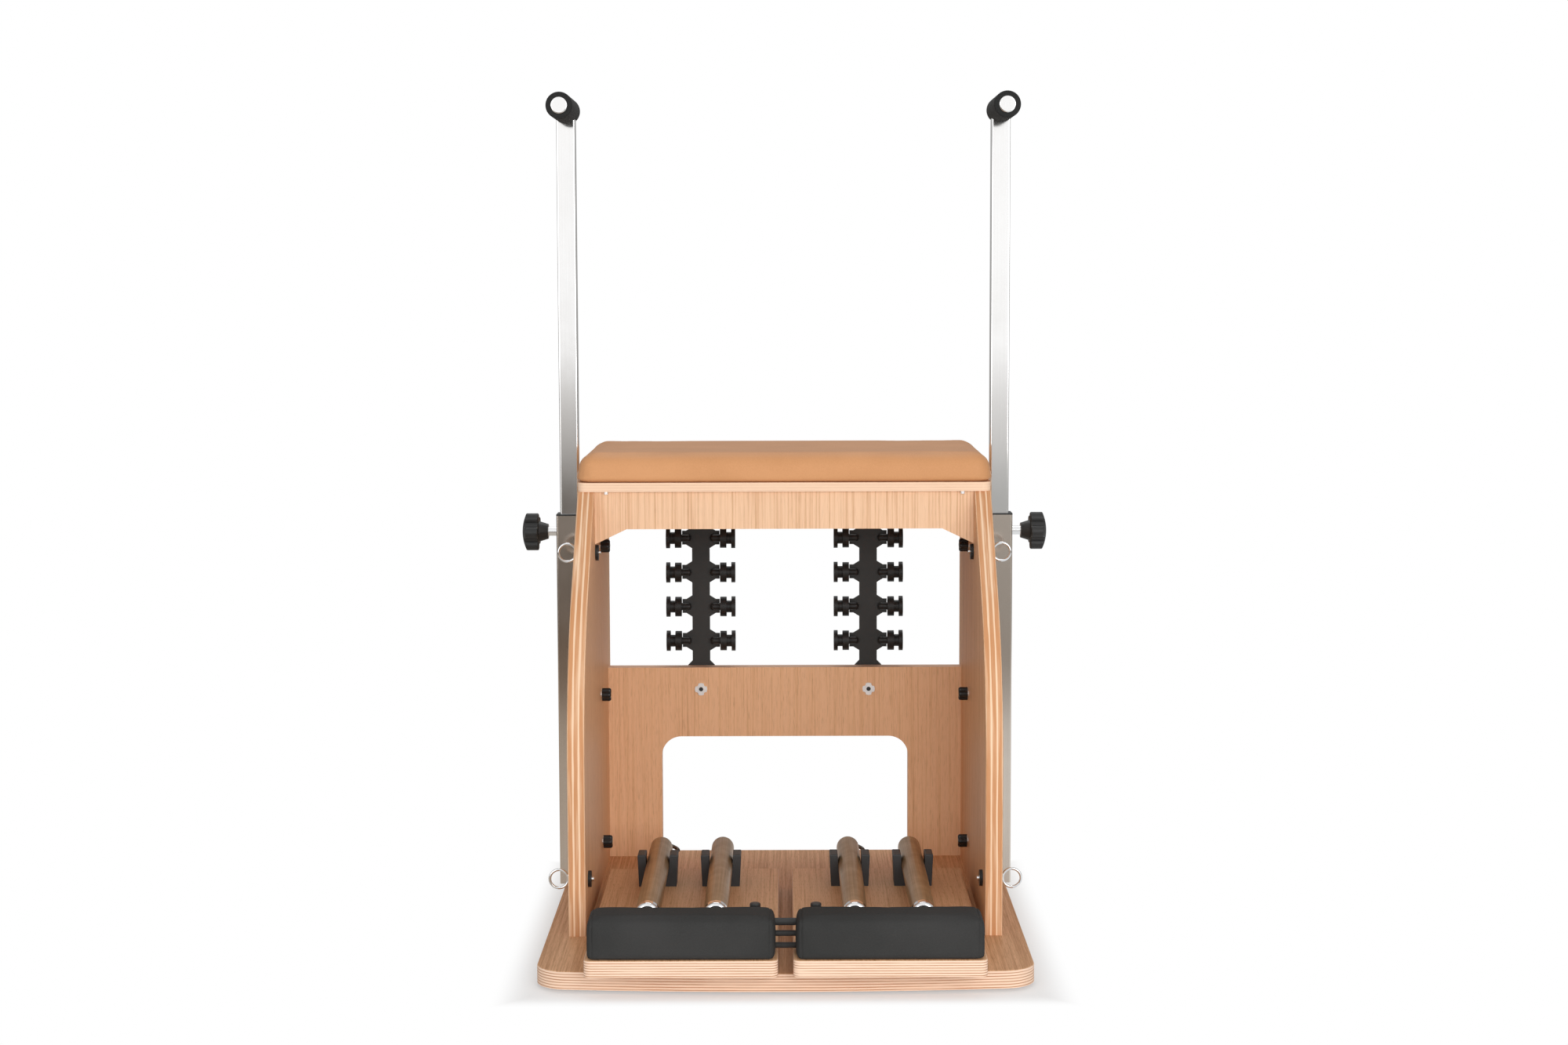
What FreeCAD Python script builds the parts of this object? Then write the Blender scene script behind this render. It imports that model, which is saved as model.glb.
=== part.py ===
# Split-pedal pilates chair: plywood frame, sprung pedals and height-adjustable handles.
# Millimetres, +Z up, front towards -Y, +X to the right as seen from the front.
# Origin: centre of the footprint, on the floor.
import FreeCAD
import Part
import math
import os

# Base plate and feet
base_width = 600.0
base_depth = 667.0
base_thickness = 22.0
base_front_bow = 16.0
base_corner_radius = 40.0
foot_diameter = 36.0
foot_height = 4.0
foot_inset = 55.0
board_edge_round = 2.0
fillet_share = 0.9
same_place = 1e-4
same_way = 0.999

# Side panels
panel_thickness = 22.0
panel_gap = 501.0
panel_height = 543.0
panel_foot_depth = 490.0
panel_step_back = 210.0
panel_lean = 45.0
panel_bend_radius = 300.0

# Cross boards
front_rail_setback = 4.0
front_rail_thickness = 22.0
front_rail_height = 50.0
front_rail_end_drop = 20.0
front_rail_slant = 42.0
rear_rail_height = 65.0
rear_board_thickness = 22.0
rear_board_setback = 18.0
rear_panel_height = 272.5
cutout_width = 350.5
cutout_height = 173.5
cutout_radius = 28.0

# Seat
seat_board_thickness = 12.0
seat_board_radius = 12.0
seat_front_overhang = 3.0
seat_rear_inset = 5.0
cushion_height = 39.0
cushion_bulge = 3.0
cushion_corner_radius = 34.0
cushion_crown = 5.0
cushion_waist = 2.0
cushion_edge = 12.0
seat_screw_diameter = 5.5
seat_screw_head = 3.5
seat_screw_inset = 15.5

# Section shared by the cushions, insets and levels counted in edge sizes or crowns
pinch_inset = 0.35
pinch_level = 0.6
shoulder_inset = 0.3
shoulder_drop = 0.35
shelf_inset = 3.0
shelf_level = 0.65
summit_inset = 4.2
least_corner = 0.35

# Handle sleeves on the outside of the panels
sleeve_size = 35.0
sleeve_wall = 2.0
sleeve_top_drop = 38.5
sleeve_from_rear = 189.0
stud_diameter = 8.0
stud_bottom_margin = 54.5
stud_top_margin = 42.5
stud_count = 3
stud_hole_gap = 0.2
hand_nut_diameter = 18.0
hand_nut_thickness = 14.0
hand_nut_lobes = 4
hand_nut_lobe_diameter = 8.0
hand_nut_hub_diameter = 13.0
hand_nut_round = 3.0
hand_nut_collar_diameter = 15.0
hand_nut_collar = 1.5
bush_length = 60.0
bush_flange = 2.0
slide_gap = 0.3
thread_gap = 0.05

# Handles
post_size = 25.0
post_wall = 2.0
post_foot_rise = 146.0
grip_above_panel = 503.0
bar_diameter = 22.0
bar_front_reach = 111.0
bar_rear_reach = 15.0
bar_end_proud = 1.5
grip_diameter = 35.0
grip_fit = 0.1
grip_front_round = 2.2
grip_rear_round = 4.0
glide_height = 20.0

# Clamp knobs
clamp_drop = 22.5
clamp_stud_diameter = 12.0
clamp_stud_show = 12.0
clamp_hub_diameter = 28.0
clamp_hub_neck_diameter = 20.0
clamp_hub_length = 12.5
clamp_star_diameter = 52.0
clamp_star_length = 22.5
clamp_star_dome = 6.0
clamp_lobes = 5
clamp_lobe_diameter = 16.0
clamp_core_diameter = 36.0
clamp_star_round = 2.0

# Eye bolts
eye_outer_diameter = 27.0
eye_wire = 3.5
eye_shank_diameter = 6.0
eye_collar_diameter = 13.0
eye_collar_length = 3.0
eye_neck = 0.5
eye_upper_drop = 82.0
eye_upper_ahead = 77.0
eye_lower_height = 63.0
eye_lower_inset = 46.0
eye_nut_diameter = 21.0
eye_nut_thickness = 4.0
eye_tail = 3.0

# Spring trees
tree_spacing = 238.0
tree_thickness = 6.0
tree_stem_width = 25.0
tree_foot_width = 38.0
tree_foot_depth = 60.0
tree_head_height = 40.0
tab_root_height = 30.0
tab_tip_height = 19.5
tab_slope_reach = 8.5
tab_reach = 26.5
peg_spacing = 45.0
peg_first_margin = 36.0
peg_last_margin = 22.5
peg_shaft_diameter = 10.5
peg_shaft_flat = 0.75
peg_nose_start = 13.5
peg_nose_round = 4.4
peg_tab_gap = 1.0
peg_roller_diameter = 17.0
peg_inner_flange_diameter = 28.0
peg_inner_flange_width = 9.0
peg_groove_width = 7.0
peg_outer_flange_diameter = 29.0
peg_outer_flange_width = 5.5
tree_bolt_diameter = 6.0
tree_bolt_head_diameter = 14.0
tree_bolt_head = 5.0
tree_bolt_drop = 31.0
tree_bolt_rise = 20.0
t_nut_diameter = 17.5
t_nut_thickness = 2.5
t_nut_notch = 5.5
t_nut_notch_out = 0.8
t_nut_notches = 4

# Pedals
pedal_overhang = 45.0
pedal_length = 474.0
pedal_thickness = 20.0
pedal_gap = 18.0
pedal_side_gap = 13.5
pedal_lift = 8.0
pedal_corner_radius = 9.0
pad_depth = 69.0
pad_front_inset = 1.0
pad_height = 51.0
pad_end_inset = 3.0
pad_corner_radius = 10.0
pad_crown = 4.0
pad_waist = 0.8
pad_edge = 7.0
bumper_diameter = 25.0
bumper_inset = 75.0
bumper_edge = 35.0

# Pedal hinges
hinge_width = 180.0
hinge_leaf_length = 34.0
hinge_leaf_thickness = 2.4
hinge_gap = 0.3
hinge_pin_diameter = 4.0
hinge_pin_gap = 0.05
hinge_knuckles = 5
hinge_set_back = 4.0

# Covered springs, their front lugs and the clips that hold them
spring_spread = 83.0
spring_offset = 3.0
spring_height = 27.0
spring_pin_inset = 95.0
cover_diameter = 30.0
cover_wall = 2.0
cover_length = 368.0
cover_dome = 13.0
coil_diameter = 22.0
coil_clearance = 1.0
cap_length = 14.0
cap_from_pin = 16.0
cap_round = 5.0
tongue_thickness = 6.0
tongue_radius = 8.0
lug_thickness = 5.0
lug_side_gap = 0.4
lug_base_thickness = 4.0
lug_base_length = 30.0
lug_pin_diameter = 6.0
lug_pin_gap = 0.05
hook_wire = 5.0
hook_radius = 11.5
hook_shank = 8.0
hook_rolls = (20.0, 90.0, 20.0, 90.0)
clip_width = 53.0
clip_depth = 33.0
clip_height = 42.0
clip_flare = 2.0
clip_gap = 0.5
clip_round = 2.0
clip_from_rear = 87.0

# Couplers that lock the two pedals together
coupler_depth = 51.0
coupler_bar_diameter = 9.0
coupler_rod_diameter = 7.0
coupler_bar_height = 34.0
coupler_rod_heights = (20.0, 5.5)
coupler_entry = 26.0
coupler_tail = 64.0
coupler_travel = 28.0
coupler_gap = 0.3
coupler_knob_diameter = 13.0
coupler_knob_round = 2.0
coupler_knob_place = 36.5
coupler_knob_rise = 48.0
coupler_knob_behind = 17.0
coupler_arm_width = 12.0
coupler_arm_thickness = 6.0

# Levels and depths that follow from the sizes above
base_top = foot_height + base_thickness
base_front = (pedal_overhang - base_depth) / 2.0
base_rear = base_front + base_depth
inner_x = panel_gap / 2.0
outer_x = inner_x + panel_thickness
panel_rear = base_rear
panel_front = panel_rear - panel_foot_depth
panel_top_front = panel_front + panel_step_back
panel_top = base_top + panel_height
rail_front = panel_top_front + front_rail_setback
seat_front = panel_top_front - seat_front_overhang
seat_rear = panel_rear - seat_rear_inset
rear_board_rear = panel_rear - rear_board_setback
rear_board_front = rear_board_rear - rear_board_thickness
rear_panel_top = base_top + rear_panel_height
rear_rail_bottom = panel_top - rear_rail_height
sleeve_y = panel_rear - sleeve_from_rear
sleeve_x = outer_x + sleeve_size / 2.0
sleeve_top = panel_top - sleeve_top_drop
stud_span = sleeve_top - base_top - stud_bottom_margin - stud_top_margin
stud_pitch = stud_span / (stud_count - 1)
clamp_z = sleeve_top - clamp_drop
grip_z = panel_top + grip_above_panel
post_low = base_top + post_foot_rise
peg_span = rear_rail_bottom - rear_panel_top - peg_first_margin - peg_last_margin
peg_count = max(int(peg_span / peg_spacing) + 1, 2)
peg_pitch = peg_span / (peg_count - 1)
peg_axis_y = rear_board_rear - peg_shaft_diameter / 2.0 + peg_shaft_flat
peg_groove_end = tab_reach + peg_tab_gap + peg_inner_flange_width + peg_groove_width
peg_end = peg_groove_end + peg_outer_flange_width
pedal_width = inner_x - pedal_gap / 2.0 - pedal_side_gap
pedal_front = base_front - pedal_overhang
pedal_rear = pedal_front + pedal_length
pedal_bottom = base_top + pedal_lift
pedal_top = pedal_bottom + pedal_thickness
pedal_mid = pedal_gap / 2.0 + pedal_width / 2.0
hinge_y = pedal_rear + hinge_set_back
hinge_z = base_top + pedal_lift / 2.0
spring_z = pedal_top + spring_height
spring_pin_y = pedal_front + spring_pin_inset
spring_mid = pedal_mid + spring_offset
spring_places = (spring_mid - spring_spread / 2.0, spring_mid + spring_spread / 2.0)
cap_front = spring_pin_y + cap_from_pin
cover_front = cap_front + cap_length
cover_rear = cover_front + cover_length
coupler_y = pedal_front + coupler_depth
pad_inner = pedal_gap / 2.0 + pad_end_inset
pad_front = pedal_front + pad_front_inset
pad_rear = pad_front + pad_depth

x_axis = FreeCAD.Vector(1, 0, 0)
y_axis = FreeCAD.Vector(0, 1, 0)
z_axis = FreeCAD.Vector(0, 0, 1)


def point(x, y, z):
    return FreeCAD.Vector(x, y, z)


def block(x0, x1, y0, y1, z0, z1):
    return Part.makeBox(x1 - x0, y1 - y0, z1 - z0, point(x0, y0, z0))


def rod(diameter, start, axis, length):
    return Part.makeCylinder(diameter / 2.0, length, start, axis)


def ring(outer, inner, start, axis, length):
    return rod(outer, start, axis, length).cut(rod(inner, start, axis, length))


def line(a, b):
    return Part.LineSegment(a, b).toShape()


def arc(a, middle, b):
    return Part.Arc(a, middle, b).toShape()


def prism(points, sweep):
    edges = [line(a, b) for a, b in zip(points, points[1:] + points[:1])]
    return Part.Face(Part.Wire(edges)).extrude(sweep)


def mirrored(shape):
    return shape.mirror(point(0, 0, 0), x_axis)


def group(shapes):
    return Part.makeCompound(shapes)


def export(shape, node):
    shape.exportStep("parts/" + node + ".step")


def both_sides(right_shape, node):
    export(right_shape, "right_" + node)
    export(mirrored(right_shape), "left_" + node)


def rounded_edges(shape, radius, wanted):
    edges = [edge for edge in shape.Edges if wanted(edge)]
    return shape.makeFillet(radius, edges)


def runs_along(edge, axis):
    ends = [vertex.Point for vertex in edge.Vertexes]
    if len(ends) < 2:
        return False
    run = ends[1].sub(ends[0])
    return run.Length > 0 and abs(run.dot(axis)) > same_way * run.Length


def lies_at(edge, axis, level):
    return all(abs(vertex.Point.dot(axis) - level) < same_place for vertex in edge.Vertexes)


def bowed_rectangle(width, depth, corner, waist, z, centre_y):
    # rounded rectangle whose four sides draw in by the waist half way along
    half_w = width / 2.0
    half_d = depth / 2.0
    bend = corner * (1.0 - math.sqrt(0.5))
    edges = []
    for sx, sy in ((1, 1), (-1, 1), (-1, -1), (1, -1)):
        on_side = point(sx * half_w, centre_y + sy * (half_d - corner), z)
        on_end = point(sx * (half_w - corner), centre_y + sy * half_d, z)
        mid = point(sx * (half_w - bend), centre_y + sy * (half_d - bend), z)
        if sx * sy > 0:
            edges.append((on_side, mid, on_end))
        else:
            edges.append((on_end, mid, on_side))
    draws = (point(0, centre_y + half_d - waist, z), point(-half_w + waist, centre_y, z),
             point(0, centre_y - half_d + waist, z), point(half_w - waist, centre_y, z))
    shapes = []
    for index, corner_points in enumerate(edges):
        following = edges[(index + 1) % len(edges)]
        shapes.append(arc(*corner_points))
        shapes.append(arc(corner_points[2], draws[index], following[0]))
    return Part.Wire(shapes)


def cushion(width, depth, height, corner, waist, crown, edge, centre_y, bottom):
    # bottom pinch, full sides, rounded shoulder, then two rising steps to the crown
    rim = bottom + height - crown
    levels = ((edge * pinch_inset, bottom),
              (0.0, bottom + edge * pinch_level),
              (0.0, rim - edge),
              (edge * shoulder_inset, rim - edge * shoulder_drop),
              (edge, rim),
              (edge * shelf_inset, rim + crown * shelf_level),
              (edge * summit_inset, rim + crown))
    wires = []
    for inset, level in levels:
        radius = max(corner - inset, corner * least_corner)
        across = width - 2.0 * inset
        along = depth - 2.0 * inset
        wires.append(bowed_rectangle(across, along, radius, waist, level, centre_y))
    return Part.makeLoft(wires, True, False)


def lobed_disc(diameter, lobe_diameter, lobes, hub_diameter, start, axis, length, across):
    # round lobes about a hub, all of one length along the axis
    shape = rod(hub_diameter, start, axis, length)
    reach = (diameter - lobe_diameter) / 2.0
    for index in range(lobes):
        turn = FreeCAD.Rotation(axis, 360.0 * index / lobes)
        lobe = start.add(turn.multVec(across).multiply(reach))
        shape = shape.fuse(rod(lobe_diameter, lobe, axis, length))
    return shape.removeSplitter()


def base_plate():
    half = base_width / 2.0
    bow_radius = (half * half + base_front_bow * base_front_bow) / (2.0 * base_front_bow)
    bow_centre = base_front + bow_radius
    corner_x = half - base_corner_radius
    reach = bow_radius - base_corner_radius
    corner_y = bow_centre - math.sqrt(reach * reach - corner_x * corner_x)
    touch_x = bow_radius * corner_x / reach
    touch_y = bow_centre + bow_radius * (corner_y - bow_centre) / reach
    lean = math.atan2(touch_y - corner_y, touch_x - corner_x) / 2.0
    mid_x = corner_x + base_corner_radius * math.cos(lean)
    mid_y = corner_y + base_corner_radius * math.sin(lean)
    places = ((half, base_rear), (half, corner_y), (mid_x, mid_y), (touch_x, touch_y))
    right = [point(x, y, foot_height) for x, y in places]
    left = [point(-x, y, foot_height) for x, y in places]
    front = point(0, base_front, foot_height)
    outline = Part.Wire([
        line(left[0], right[0]),
        line(right[0], right[1]),
        arc(right[1], right[2], right[3]),
        arc(right[3], front, left[3]),
        arc(left[3], left[2], left[1]),
        line(left[1], left[0])])
    plate = Part.Face(outline).extrude(z_axis * base_thickness)
    return rounded_edges(plate, board_edge_round, lambda edge: lies_at(edge, z_axis, base_top))


def base_feet():
    feet = []
    for x in (-base_width / 2.0 + foot_inset, base_width / 2.0 - foot_inset):
        for y in (base_front + base_front_bow + foot_inset, base_rear - foot_inset):
            feet.append(rod(foot_diameter, point(x, y, 0), z_axis, foot_height))
    return group(feet)


def stud_levels():
    return [base_top + stud_bottom_margin + stud_pitch * index for index in range(stud_count)]


def eye_places():
    upper = (sleeve_y - eye_upper_ahead, panel_top - eye_upper_drop)
    lower = (panel_front + eye_lower_inset, base_top + eye_lower_height)
    return (upper, lower)


def faces_front(edge):
    # the long edges down the panel's front, not the short ones across its thickness
    ahead = all(vertex.Point.y < panel_top_front + same_place for vertex in edge.Vertexes)
    return ahead and not runs_along(edge, x_axis)


def side_panel():
    # upright foot, a bend of one radius, then a straight run that leans back to the seat
    lean = math.radians(panel_lean)
    bend_y = panel_front + panel_bend_radius
    turn = panel_bend_radius * math.tan(lean / 2.0)
    bend_z = panel_top - panel_step_back / math.tan(lean) - turn
    bend = []
    for angle in (0.0, lean / 2.0, lean):
        y = bend_y - panel_bend_radius * math.cos(angle)
        z = bend_z + panel_bend_radius * math.sin(angle)
        bend.append(point(inner_x, y, z))
    top = point(inner_x, panel_top_front, panel_top)
    outline = Part.Wire([
        line(point(inner_x, panel_front, base_top), bend[0]),
        arc(*bend),
        line(bend[2], top),
        line(top, point(inner_x, panel_rear, panel_top)),
        line(point(inner_x, panel_rear, panel_top), point(inner_x, panel_rear, base_top)),
        line(point(inner_x, panel_rear, base_top), point(inner_x, panel_front, base_top))])
    panel = Part.Face(outline).extrude(x_axis * panel_thickness)
    panel = rounded_edges(panel, board_edge_round, faces_front)
    for z in stud_levels():
        hole = stud_diameter + 2.0 * stud_hole_gap
        panel = panel.cut(rod(hole, point(inner_x, sleeve_y, z), x_axis, panel_thickness))
    for y, z in eye_places():
        hole = eye_shank_diameter + 2.0 * stud_hole_gap
        panel = panel.cut(rod(hole, point(inner_x, y, z), x_axis, panel_thickness))
    return panel


def front_rail():
    y = rail_front
    low = panel_top - front_rail_height
    end = low - front_rail_end_drop
    slant = inner_x - front_rail_slant
    outline = [point(-inner_x, y, panel_top), point(-inner_x, y, end), point(-slant, y, low),
               point(slant, y, low), point(inner_x, y, end), point(inner_x, y, panel_top)]
    return prism(outline, y_axis * front_rail_thickness)


def tree_hole_levels():
    return (rear_panel_top - tree_bolt_drop, rear_rail_bottom + tree_bolt_rise)


def rear_bolt_holes(level):
    holes = []
    for side in (-1, 1):
        start = point(side * tree_spacing / 2.0, rear_board_front, level)
        holes.append(rod(tree_bolt_diameter + 2.0 * stud_hole_gap, start, y_axis, rear_board_thickness))
    return group(holes)


def rear_rail():
    rail = block(-inner_x, inner_x, rear_board_front, rear_board_rear, rear_rail_bottom, panel_top)
    return rail.cut(rear_bolt_holes(tree_hole_levels()[1]))


def rear_panel():
    half = cutout_width / 2.0
    lintel = base_top + cutout_height
    panel = block(-inner_x, inner_x, rear_board_front, rear_board_rear, base_top, rear_panel_top)
    opening = block(-half, half, rear_board_front, rear_board_rear, base_top, lintel)
    opening = rounded_edges(opening, cutout_radius,
                            lambda edge: runs_along(edge, y_axis) and lies_at(edge, z_axis, lintel))
    return panel.cut(opening).cut(rear_bolt_holes(tree_hole_levels()[0]))


def seat_board():
    board = block(-outer_x, outer_x, seat_front, seat_rear, panel_top, panel_top + seat_board_thickness)
    return rounded_edges(board, seat_board_radius, lambda edge: runs_along(edge, z_axis))


def seat_cushion():
    width = 2.0 * (outer_x + cushion_bulge)
    depth = seat_rear - seat_front + 2.0 * cushion_bulge
    bottom = panel_top + seat_board_thickness
    return cushion(width, depth, cushion_height, cushion_corner_radius, cushion_waist, cushion_crown,
                   cushion_edge, (seat_front + seat_rear) / 2.0, bottom)


def seat_screws():
    y = (seat_front + rail_front) / 2.0
    screws = []
    for x in (-inner_x + seat_screw_inset, inner_x - seat_screw_inset):
        screws.append(rod(seat_screw_diameter, point(x, y, panel_top), z_axis * -1.0, seat_screw_head))
    return group(screws)


def clamp_hole():
    hole = clamp_stud_diameter + 2.0 * slide_gap
    return rod(hole, point(sleeve_x, sleeve_y, clamp_z), x_axis, sleeve_size)


def square(half, low, high):
    # square column on the handle's own axis
    return block(sleeve_x - half, sleeve_x + half, sleeve_y - half, sleeve_y + half, low, high)


def sleeve():
    half = sleeve_size / 2.0
    tube = square(half, base_top, sleeve_top)
    hollow = square(half - sleeve_wall, base_top, sleeve_top)
    tube = rounded_edges(tube, sleeve_wall, lambda edge: runs_along(edge, z_axis)).cut(hollow)
    tube = tube.cut(clamp_hole())
    reach = panel_thickness + hand_nut_thickness
    for z in stud_levels():
        tube = tube.fuse(rod(stud_diameter, point(outer_x - reach, sleeve_y, z), x_axis, reach))
    return tube


def sleeve_bush():
    half = sleeve_size / 2.0
    outer = half - sleeve_wall
    bore = post_size / 2.0 + slide_gap
    low = sleeve_top - bush_length
    top = sleeve_top + bush_flange
    bush = square(outer, low, sleeve_top).fuse(square(half, sleeve_top, top))
    bush = bush.cut(square(bore, low, top))
    return bush.cut(clamp_hole())


def sleeve_hand_nuts():
    nuts = []
    for z in stud_levels():
        start = point(inner_x, sleeve_y, z)
        inward = x_axis * -1.0
        body = start.add(inward * hand_nut_collar)
        nut = lobed_disc(hand_nut_diameter, hand_nut_lobe_diameter, hand_nut_lobes, hand_nut_hub_diameter,
                         body, inward, hand_nut_thickness - hand_nut_collar, z_axis)
        face = inner_x - hand_nut_thickness
        nut = rounded_edges(nut, hand_nut_round, lambda edge: lies_at(edge, x_axis, face))
        nut = nut.fuse(rod(hand_nut_collar_diameter, start, inward, hand_nut_collar))
        bore = stud_diameter + 2.0 * thread_gap
        nuts.append(nut.cut(rod(bore, start, inward, hand_nut_thickness)))
    return nuts


def post():
    half = post_size / 2.0
    bar_front = sleeve_y - bar_front_reach
    tube = rounded_edges(square(half, post_low, grip_z), post_wall, lambda edge: runs_along(edge, z_axis))
    hollow = square(half - post_wall, post_low, grip_z)
    bar = rod(bar_diameter, point(sleeve_x, bar_front, grip_z), y_axis, bar_front_reach + bar_rear_reach)
    end = rounded_edges(bar, bar_end_proud, lambda edge: lies_at(edge, y_axis, bar_front))
    return tube.cut(hollow).fuse(end)


def grip():
    half = post_size / 2.0 + grip_fit
    front = sleeve_y - bar_front_reach + bar_end_proud
    rear = sleeve_y + bar_rear_reach + grip_fit
    wall = (grip_diameter - bar_diameter) / 2.0
    foam = rod(grip_diameter, point(sleeve_x, front, grip_z), y_axis, rear + wall - front)
    most = wall * fillet_share
    foam = rounded_edges(foam, min(grip_rear_round, most), lambda edge: lies_at(edge, y_axis, rear + wall))
    foam = rounded_edges(foam, min(grip_front_round, most), lambda edge: lies_at(edge, y_axis, front))
    bore = bar_diameter + 2.0 * grip_fit
    foam = foam.cut(rod(bore, point(sleeve_x, front, grip_z), y_axis, rear - front))
    return foam.cut(square(half, grip_z - grip_diameter, grip_z))


def post_glide():
    outer = sleeve_size / 2.0 - sleeve_wall - slide_gap
    plug = post_size / 2.0 - post_wall
    foot = square(outer, post_low - post_wall, post_low)
    return foot.fuse(square(plug, post_low, post_low + glide_height))


def clamp_knob():
    # stud, tapered hub, then a star cut to a dome, with one lobe turned to the front
    tip = sleeve_x + post_size / 2.0 + slide_gap
    hub_start = sleeve_x + sleeve_size / 2.0 + clamp_stud_show
    star_start = hub_start + clamp_hub_length
    knob = rod(clamp_stud_diameter, point(tip, sleeve_y, clamp_z), x_axis, hub_start - tip)
    hub = Part.makeCone(clamp_hub_neck_diameter / 2.0, clamp_hub_diameter / 2.0, clamp_hub_length,
                        point(hub_start, sleeve_y, clamp_z), x_axis)
    star = lobed_disc(clamp_star_diameter, clamp_lobe_diameter, clamp_lobes, clamp_core_diameter,
                      point(star_start, sleeve_y, clamp_z), x_axis, clamp_star_length, y_axis * -1.0)
    reach = clamp_star_diameter / 2.0
    ball = (reach * reach + clamp_star_dome * clamp_star_dome) / (2.0 * clamp_star_dome)
    star_end = star_start + clamp_star_length
    star = star.common(Part.makeSphere(ball, point(star_end - ball, sleeve_y, clamp_z)))
    star = rounded_edges(star, clamp_star_round, lambda edge: not runs_along(edge, x_axis))
    return knob.fuse(hub).fuse(star)


def eye_bolt(y, z):
    wire = eye_wire / 2.0
    ring_radius = eye_outer_diameter / 2.0 - wire
    collar_end = outer_x + eye_collar_length
    centre_x = collar_end + eye_neck + ring_radius
    loop = Part.makeTorus(ring_radius, wire, point(centre_x, y, z), y_axis)
    tail = inner_x - eye_nut_thickness - eye_tail
    shank = rod(eye_shank_diameter, point(tail, y, z), x_axis, centre_x - ring_radius - tail)
    collar = rod(eye_collar_diameter, point(outer_x, y, z), x_axis, eye_collar_length)
    return shank.fuse(collar).fuse(loop)


def eye_nut(y, z):
    start = point(inner_x - eye_nut_thickness, y, z)
    return ring(eye_nut_diameter, eye_shank_diameter + 2.0 * thread_gap, start, x_axis, eye_nut_thickness)


def peg_levels():
    return [rear_panel_top + peg_first_margin + peg_pitch * index for index in range(peg_count)]


def tree_outline(half, x):
    # plate with this right half, given as reaches from the centre line and levels, and the same left
    right = [point(x + reach, rear_board_rear, z) for reach, z in half]
    left = [point(x - reach, rear_board_rear, z) for reach, z in reversed(half)]
    return prism(right + left, y_axis * tree_thickness)


def spring_tree():
    # wide foot and slim stem, with a tapered tab each side at every peg
    x = tree_spacing / 2.0
    stem = tree_stem_width / 2.0
    foot = tree_foot_width / 2.0
    foot_low = rear_panel_top - tree_foot_depth
    head = rear_rail_bottom + tree_head_height
    plate = tree_outline([(foot, foot_low), (foot, rear_panel_top), (stem, rear_panel_top + foot - stem),
                          (stem, head)], x)
    tip = stem + tab_slope_reach
    root_half = tab_root_height / 2.0
    tip_half = tab_tip_height / 2.0
    for z in peg_levels():
        tabs = tree_outline([(stem, z - root_half), (tip, z - tip_half), (tab_reach, z - tip_half),
                             (tab_reach, z + tip_half), (tip, z + tip_half), (stem, z + root_half)], x)
        plate = plate.fuse(tabs)
    plate = plate.removeSplitter()
    for z in tree_hole_levels():
        hole = tree_bolt_diameter + 2.0 * stud_hole_gap
        plate = plate.cut(rod(hole, point(x, rear_board_rear, z), y_axis, tree_thickness))
    return plate


def peg_starts():
    # every peg's tree centre and the way it points
    return [(point(side * tree_spacing / 2.0, peg_axis_y, z), x_axis * way)
            for side in (-1, 1) for z in peg_levels() for way in (-1, 1)]


def tree_pegs():
    pegs = []
    for centre, way in peg_starts():
        start = centre.add(way * peg_nose_start)
        shaft = rod(peg_shaft_diameter, start, way, peg_end - peg_nose_start)
        nose = min(peg_nose_round, fillet_share * peg_shaft_diameter / 2.0)
        shaft = rounded_edges(shaft, nose, lambda edge: lies_at(edge, x_axis, start.x))
        roller = centre.add(way * (peg_groove_end - peg_groove_width))
        shaft = shaft.fuse(rod(peg_roller_diameter, roller, way, peg_groove_width))
        flat = block(centre.x - tab_reach, centre.x + tab_reach,
                     rear_board_rear, rear_board_rear + peg_shaft_diameter,
                     centre.z - peg_shaft_diameter, centre.z + peg_shaft_diameter)
        pegs.append(shaft.cut(flat))
    return group(pegs)


def peg_flanges():
    flanges = []
    bore = peg_shaft_diameter + 2.0 * thread_gap
    for centre, way in peg_starts():
        inner = centre.add(way * (peg_groove_end - peg_groove_width - peg_inner_flange_width))
        outer = centre.add(way * peg_groove_end)
        flanges.append(ring(peg_inner_flange_diameter, bore, inner, way, peg_inner_flange_width))
        flanges.append(ring(peg_outer_flange_diameter, bore, outer, way, peg_outer_flange_width))
    return group(flanges)


def tree_bolts():
    bolts = []
    for side in (-1, 1):
        for z in tree_hole_levels():
            head = point(side * tree_spacing / 2.0, rear_board_rear + tree_thickness, z)
            bolt = rod(tree_bolt_head_diameter, head, y_axis, tree_bolt_head)
            reach = tree_thickness + rear_board_thickness + t_nut_thickness / 2.0
            bolts.append(bolt.fuse(rod(tree_bolt_diameter, head, y_axis * -1.0, reach)))
    return group(bolts)


def tree_t_nuts():
    nuts = []
    for side in (-1, 1):
        for z in tree_hole_levels():
            start = point(side * tree_spacing / 2.0, rear_board_front - t_nut_thickness, z)
            bore = tree_bolt_diameter + 2.0 * thread_gap
            nut = ring(t_nut_diameter, bore, start, y_axis, t_nut_thickness)
            for index in range(t_nut_notches):
                turn = FreeCAD.Rotation(y_axis, 360.0 * (index + 0.5) / t_nut_notches)
                notch = start.add(turn.multVec(z_axis).multiply(t_nut_diameter / 2.0 + t_nut_notch_out))
                nut = nut.cut(rod(t_nut_notch, notch, y_axis, t_nut_thickness))
            nuts.append(nut)
    return group(nuts)


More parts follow.
